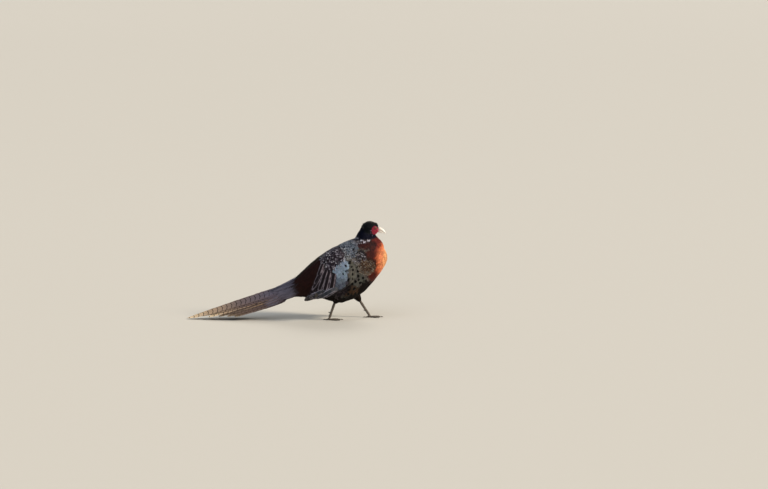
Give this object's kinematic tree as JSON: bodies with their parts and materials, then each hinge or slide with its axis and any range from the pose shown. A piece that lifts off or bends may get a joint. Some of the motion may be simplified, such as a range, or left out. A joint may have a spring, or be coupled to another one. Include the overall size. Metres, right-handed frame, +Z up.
{
  "type": "common pheasant",
  "caption": "Adult male pheasant walking, with a red face, white neck ring, copper breast, spotted flanks and a long barred tail; a still life-size figure.",
  "frame": {"origin": "on the floor, under the middle of the whole bird's bounding box", "axes": "+X from the tail towards the bill, +Y to the bird's left, +Z up; the toes stand flat at Z 0"},
  "size_m": [0.815, 0.193, 0.4039],
  "materials": {
    "feathers_head": "glossy blue-green black plumage",
    "feathers_body": "copper and buff plumage with dark scallops and spots",
    "feathers_rump": "mahogany plumage",
    "feathers_wing": "grey, brown and buff wing plumage",
    "feathers_tail": "barred mauve-brown vanes",
    "feathers_thigh": "dark brown plumage",
    "wattle": "bare crimson skin with fine bumps",
    "bill": "smooth pale horn",
    "eye": "wet amber iris and black pupil",
    "leg_scales": "grey-brown scaly skin",
    "claw": "dark horn"
  },
  "bodies": {
    "root": {"head": "feathers_head", "neck": "feathers_head", "trunk": "feathers_body", "rump": "feathers_rump", "bill_upper": "bill", "bill_lower": "bill", "wattle_left": "wattle", "eye_left": "eye", "ear_tuft_left": "feathers_head", "wing_left": "feathers_wing", "primaries_left": "feathers_wing", "tail_feather_1_left": "feathers_tail", "tail_feather_2_left": "feathers_tail", "tail_feather_3_left": "feathers_tail", "tail_feather_4_left": "feathers_tail", "tail_feather_5_left": "feathers_tail", "tail_feather_6_left": "feathers_tail", "tail_feather_7_left": "feathers_tail", "tail_feather_8_left": "feathers_tail", "tail_feather_9_left": "feathers_tail", "thigh_left": "feathers_thigh", "tarsus_left": "leg_scales", "claw_middle_left": "claw", "claw_inner_left": "claw", "claw_outer_left": "claw", "claw_hind_left": "claw", "foot_left": "leg_scales", "spur_left": "claw", "wattle_right": "wattle", "eye_right": "eye", "ear_tuft_right": "feathers_head", "wing_right": "feathers_wing", "primaries_right": "feathers_wing", "tail_feather_1_right": "feathers_tail", "tail_feather_2_right": "feathers_tail", "tail_feather_3_right": "feathers_tail", "tail_feather_4_right": "feathers_tail", "tail_feather_5_right": "feathers_tail", "tail_feather_6_right": "feathers_tail", "tail_feather_7_right": "feathers_tail", "tail_feather_8_right": "feathers_tail", "tail_feather_9_right": "feathers_tail", "thigh_right": "feathers_thigh", "tarsus_right": "leg_scales", "claw_middle_right": "claw", "claw_inner_right": "claw", "claw_outer_right": "claw", "claw_hind_right": "claw", "foot_right": "leg_scales", "spur_right": "claw"}
  },
  "joints": []
}
